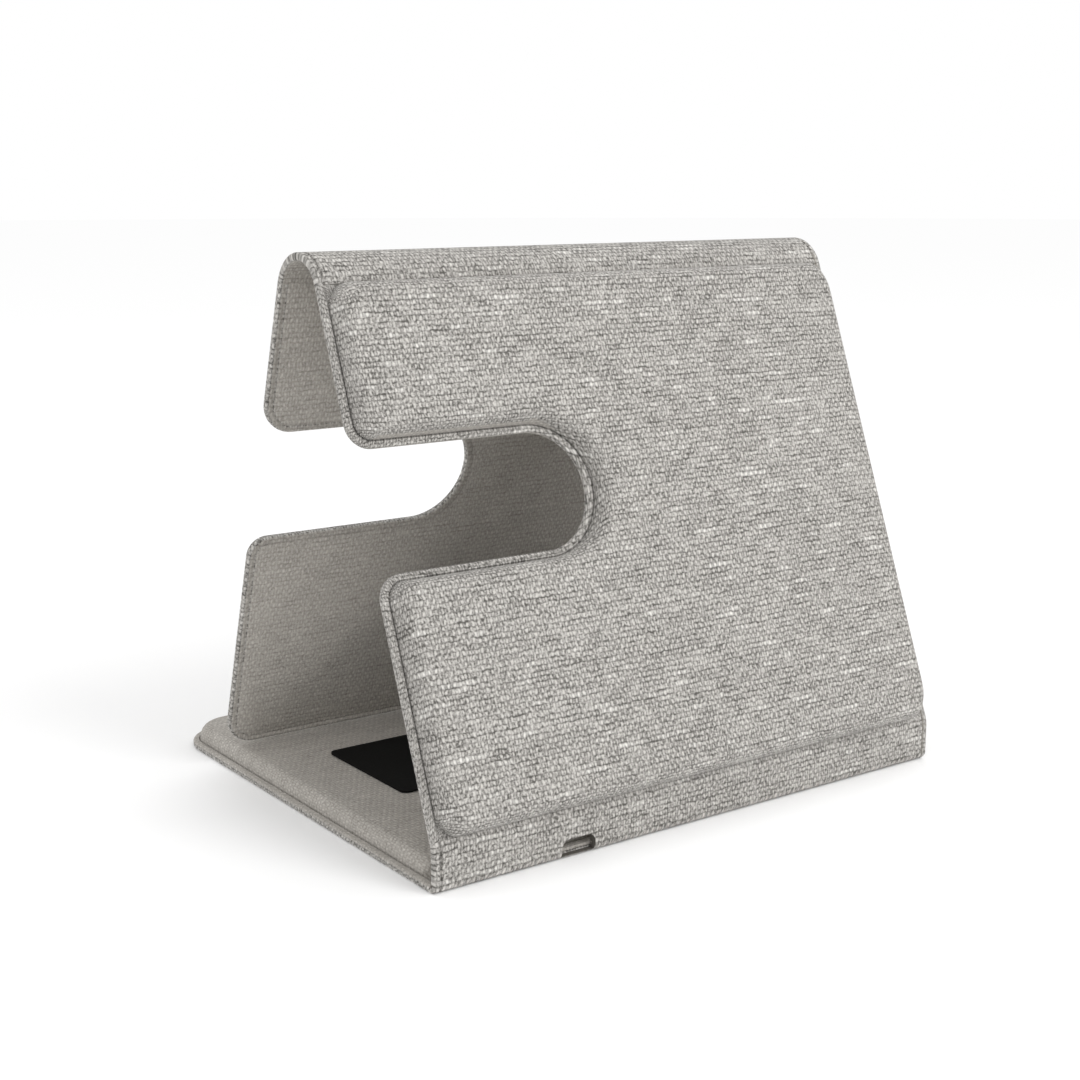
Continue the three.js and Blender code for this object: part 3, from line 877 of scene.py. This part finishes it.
def woven(name, dark_yarn_and_gap_shade, yarn, pale, contrast, depth):
    """Cloth of three tones: a dark one, which is the painted shade in the gaps between threads and also the yarn's
    own darkest tone, the yarn, and its pale streaks.
    """
    n = Nodes(name)
    cloth = n.add("ShaderNodeUVMap", uv_map="cloth")
    cloth = n.add("ShaderNodeVectorMath", {0: cloth, 3: 1 / METRES}, operation="SCALE")
    stray = n.noise(cloth, 0.55, 2.0, colour=True)
    stray = n.add("ShaderNodeVectorMath", {0: stray, 1: (0.5, 0.5, 0.5)}, operation="SUBTRACT")
    stray = n.add("ShaderNodeVectorMath", {0: stray, 3: 0.9}, operation="SCALE")
    cloth = n.add("ShaderNodeVectorMath", {0: cloth, 1: stray}, operation="ADD")
    parts = n.tree.nodes.new("ShaderNodeSeparateXYZ")
    n.tree.links.new(cloth, parts.inputs[0])
    across = n.math("DIVIDE", parts.outputs[0], WARP_STEP)
    along = n.math("DIVIDE", parts.outputs[1], ROW_STEP)
    wave_across = n.math("COSINE", n.math("MULTIPLY", across, math.pi))
    wave_along = n.math("COSINE", n.math("MULTIPLY", along, math.pi))
    bumps = n.math("MULTIPLY", wave_across, wave_along)
    cross_top = n.math("POWER", n.math("MAXIMUM", bumps, 0.0), 0.7)
    long_top = n.math("POWER", n.math("MAXIMUM", n.math("MULTIPLY", bumps, -1.0), 0.0), 0.7)
    height = n.math("ADD", cross_top, n.math("MULTIPLY", long_top, 0.45))

    row = n.math("ROUND", along)
    column = n.math("ROUND", across)
    row_place = n.vector(n.math("MULTIPLY", parts.outputs[0], 0.16), n.math("MULTIPLY", row, 7.31))
    row_tone = n.noise(row_place, 1.0, 3.0, 0.6)
    column_place = n.vector(n.math("MULTIPLY", column, 5.17), n.math("MULTIPLY", parts.outputs[1], 0.2), 3.0)
    column_tone = n.noise(column_place, 1.0, 2.0, 0.5)
    streak_place = n.vector(n.math("MULTIPLY", parts.outputs[0], 0.11), n.math("MULTIPLY", row, 11.3), 9.0)
    streak = n.between(n.noise(streak_place, 1.0, 1.0), 0.59, 0.72)
    # Here and there the furrow between two rows is darkened, most deeply in the valley between them: painted shade
    # in a deeper gap.
    furrow = n.math("ROUND", n.math("ADD", along, 0.5))
    furrow_place = n.vector(n.math("MULTIPLY", parts.outputs[0], 0.14), n.math("MULTIPLY", furrow, 5.9), 21.0)
    furrow = n.between(n.noise(furrow_place, 1.0, 1.0), 0.53, 0.66)
    on_row = n.math("ABSOLUTE", wave_along)
    furrow = n.math("MULTIPLY", furrow, n.math("POWER", n.math("SUBTRACT", 1.0, on_row), 1.5))
    fibre = n.noise(cloth, 1.5, 2.0, 0.6)
    fluff = n.noise(cloth, 5.0, 2.0, 0.6)
    cloud = n.noise(cloth, 0.05, 2.0)

    # The tone follows the threads' height, so the gaps between them go dark: painted shade in the crevices of the
    # weave. The noises below are the yarn's own tones.
    tone = n.math("MULTIPLY_ADD", n.math("SUBTRACT", height, 0.42), 0.75, 0.56)
    for part, share in ((row_tone, 0.85), (column_tone, 0.35), (fibre, 2.1), (fluff, 1.1), (cloud, 0.1)):
        tone = n.math("MULTIPLY_ADD", n.math("SUBTRACT", part, 0.5), share, tone)
    tone = n.math("SUBTRACT", tone, n.math("MULTIPLY", furrow, 0.3))
    tone = n.math("MULTIPLY_ADD", n.math("SUBTRACT", tone, 0.5), contrast, 0.5, clamp=True)
    colour = n.mix(tone, dark_yarn_and_gap_shade, yarn)
    lift = n.math("MULTIPLY", n.math("MULTIPLY_ADD", cross_top, 0.5, 0.25), n.math("MULTIPLY", streak, on_row))
    colour = n.mix(n.math("MULTIPLY", lift, contrast), colour, pale)
    # The pressed line is darkened towards half the dark of the gaps, by how deep it is sunk: painted shade in its
    # groove.
    pressed_line_shade = n.add("ShaderNodeAttribute", output=2, attribute_name="pressed_line_shade")
    colour = n.mix(n.math("MULTIPLY", pressed_line_shade, 0.4), colour, [v * 0.5 for v in dark_yarn_and_gap_shade[:3]] + [1])
    relief = n.math("MULTIPLY_ADD", fibre, 0.5, height)
    bump = n.add("ShaderNodeBump", {"Strength": 0.8, "Distance": depth * METRES, "Height": relief})
    return n.finish(
        colour, bump, Roughness=0.92, Specular_IOR_Level=0.15, Sheen_Weight=0.12, Sheen_Roughness=0.5
    )


outer_weave = woven(
    "woven_cover", (0.09, 0.085, 0.077, 1), (0.55, 0.53, 0.50, 1), (0.8, 0.78, 0.745, 1), contrast=1.0, depth=0.2
)
# The lining is the same weave with lighter gaps and less contrast. Partly this is a finer lining cloth, and partly
# it is the flatter look of the weave in the soft shade inside the tent, painted in.
lining_weave_for_soft_shade = woven(
    "woven_lining_for_soft_shade", (0.225, 0.209, 0.187, 1), (0.55, 0.521, 0.48, 1), (0.65, 0.62, 0.58, 1), contrast=0.6, depth=0.12
)


# %% Dress the cloth pieces
def notch_painted_shade():
    """The cut faces inside the notch, coloured near black with a fine grain: painted shade inside the notch."""
    n = Nodes("notch_cut_faces_painted_shade")
    here = n.add("ShaderNodeTexCoord", output=3)
    ends = n.noise(here, 1500.0, 3.0, 0.6)
    colour = n.mix(ends, (0.05, 0.046, 0.04, 1), (0.15, 0.14, 0.125, 1))
    bump = n.add("ShaderNodeBump", {"Strength": 0.5, "Distance": 0.0001, "Height": ends})
    return n.finish(colour, bump, Roughness=0.95, Specular_IOR_Level=0.1)


notch_shade_material = notch_painted_shade()


def dress(obj, inner_side):
    """The cover on the outer side, and the lining on the faces that the test picks."""
    obj.data.materials.clear()
    obj.data.materials.append(outer_weave)
    obj.data.materials.append(lining_weave_for_soft_shade)
    chosen = 0
    for face in obj.data.polygons:
        face.material_index = int(inner_side(face))
        chosen += face.material_index
    print(obj.name, chosen, "faces of lining")


def faces_tent(face):
    """True where a face looks into the tent, from the front, the top or the back."""
    return face.normal.dot(Vector((0, tent_middle.y, tent_middle.z)) - face.center) > 0.3 * (
        Vector((0, tent_middle.y, tent_middle.z)) - face.center
    ).length


tent_middle = (spine_centre + arch_centre + back_place @ Vector((0, back_length * METRES, 0))) / 3
for obj in (front_cloth, back_cloth, top_cloth, spine_cloth, *folds.values()):
    dress(obj, faces_tent)
dress(base_cloth, lambda face: face.center.z > half_thick * METRES)
# The cut faces inside the notch get the near-black painted shade.
for obj in (spine_cloth, folds["bottom_fold_cloth"]):
    obj.data.materials.append(notch_shade_material)
    for face in obj.data.polygons:
        across = abs(face.center.x / METRES - NOTCH["middle"]) <= NOTCH["width"] / 2 + 0.01
        upward = NOTCH["low"] - 0.01 <= face.center.z / METRES <= NOTCH["high"] + 0.01
        if across and upward and abs(face.normal.y) < 0.3:
            face.material_index = 2

# %% [markdown]
# ## The grip pad and what is inside the cloth
# The grip pad is a sheet of matt black rubber, nearly without a shine. The boards, the batten, the steel strip
# and the magnets are under the cloth and only show in a cut-away, but each still has its own finish, with the
# grain that greyboard or brushed steel has.


# %% Finishes of the hard parts
def rubber():
    n = Nodes("grip_rubber_matt")
    here = n.add("ShaderNodeTexCoord", output=3)
    speckle = n.noise(here, 2600.0, 2.0)
    colour = n.mix(n.between(speckle, 0.35, 0.7), (0.0045, 0.0045, 0.0042, 1), (0.009, 0.009, 0.0085, 1))
    bump = n.add("ShaderNodeBump", {"Strength": 0.25, "Distance": 0.00005, "Height": speckle})
    return n.finish(colour, bump, Roughness=0.85, Specular_IOR_Level=0.12)


def board_card():
    n = Nodes("stiffener_greyboard")
    here = n.add("ShaderNodeTexCoord", output=3)
    fibres = n.noise(here, 900.0, 4.0, 0.7)
    colour = n.mix(fibres, (0.24, 0.19, 0.14, 1), (0.42, 0.36, 0.28, 1))
    bump = n.add("ShaderNodeBump", {"Strength": 0.3, "Distance": 0.0001, "Height": fibres})
    return n.finish(colour, bump, Roughness=0.9)


def batten():
    n = Nodes("batten_moulded_plastic")
    here = n.add("ShaderNodeTexCoord", output=3)
    grain = n.noise(here, 1800.0, 2.0)
    colour = n.mix(grain, (0.05, 0.05, 0.052, 1), (0.075, 0.075, 0.078, 1))
    return n.finish(colour, None, Roughness=n.between(grain, 0.2, 0.8, 0.4, 0.55))


def brushed(name, dark, bright, rough):
    n = Nodes(name)
    here = n.add("ShaderNodeTexCoord", output=3)
    here = n.add("ShaderNodeVectorMath", {0: here, 1: (60.0, 2400.0, 2400.0)}, operation="MULTIPLY")
    lines = n.noise(here, 1.0, 3.0, 0.6)
    colour = n.mix(lines, dark, bright)
    return n.finish(colour, None, Metallic=1.0, Roughness=n.between(lines, 0.2, 0.8, rough, rough + 0.15))


FINISHES = {
    "stiffener_board": board_card(),
    "batten_plastic": batten(),
    "grip_rubber": rubber(),
    "catch_steel": brushed("catch_brushed_steel", (0.4, 0.41, 0.42, 1), (0.6, 0.61, 0.62, 1), 0.3),
    "magnet_plating": brushed("magnet_nickel_plating", (0.45, 0.44, 0.42, 1), (0.62, 0.61, 0.58, 1), 0.22),
}
FINISH_OF = {
    "board": "stiffener_board", "batten": "batten_plastic", "grip_pad": "grip_rubber",
    "strip": "catch_steel", "magnet": "magnet_plating",
}
for name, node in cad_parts.items():
    finish = next((FINISHES[slot] for word, slot in FINISH_OF.items() if word in name), outer_weave)
    node.data.materials.clear()
    node.data.materials.append(finish)
print("finishes on", len(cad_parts), "parts of the frame")

# %% [markdown]
# ## Stage, light and camera
# A pale floor, an even white surround and one large soft light from the front and above, so that the front
# panel is the brightest side and the inside of the tent falls into soft shade.

# %% Floor and surround
bpy.ops.object.select_all(action="DESELECT")
bpy.ops.mesh.primitive_circle_add(vertices=96, radius=6, fill_type="NGON", location=(0, 0, cad_box[0].z))
floor = bpy.context.object
floor.name = "floor"
pale = Nodes("pale_floor")
floor.data.materials.append(pale.finish((0.98, 0.98, 0.98, 1), None, Roughness=1.0, Specular_IOR_Level=0.0))

world = bpy.data.worlds.new("studio")
bpy.context.scene.world = world
world.use_nodes = True
world.node_tree.nodes["Background"].inputs["Color"].default_value = (1, 1, 1, 1)
world.node_tree.nodes["Background"].inputs["Strength"].default_value = 1.0


def soft_light(name, place, target, size, power):
    light = bpy.data.lights.new(name, "AREA")
    light.shape, light.size, light.energy = "DISK", size, power
    obj = bpy.data.objects.new(name, light)
    bpy.context.scene.collection.objects.link(obj)
    obj.location = place
    obj.rotation_euler = (Vector(target) - Vector(place)).to_track_quat("-Z", "Y").to_euler()


soft_light("front_softbox", (0.25, -0.9, 0.75), (0, 0, 0.07), 0.6, 5.0)

# %% Camera
CAMERA_PLACE = Vector((-0.26726, -0.36983, 0.15499))
CAMERA_YAW, CAMERA_PITCH, CAMERA_ROLL = math.radians(35.654), math.radians(11.899), math.radians(-0.067)
camera = bpy.data.objects.new("camera", bpy.data.cameras.new("camera"))
bpy.context.scene.collection.objects.link(camera)
camera.location = CAMERA_PLACE
camera.rotation_euler = (math.pi / 2 - CAMERA_PITCH, 0, -CAMERA_YAW)
camera.rotation_euler.rotate_axis("Z", CAMERA_ROLL)
camera.data.lens = 57.83
camera.data.sensor_width = 36
camera.data.clip_start = 0.01
bpy.context.scene.camera = camera
bpy.context.scene.view_settings.view_transform = "Standard"
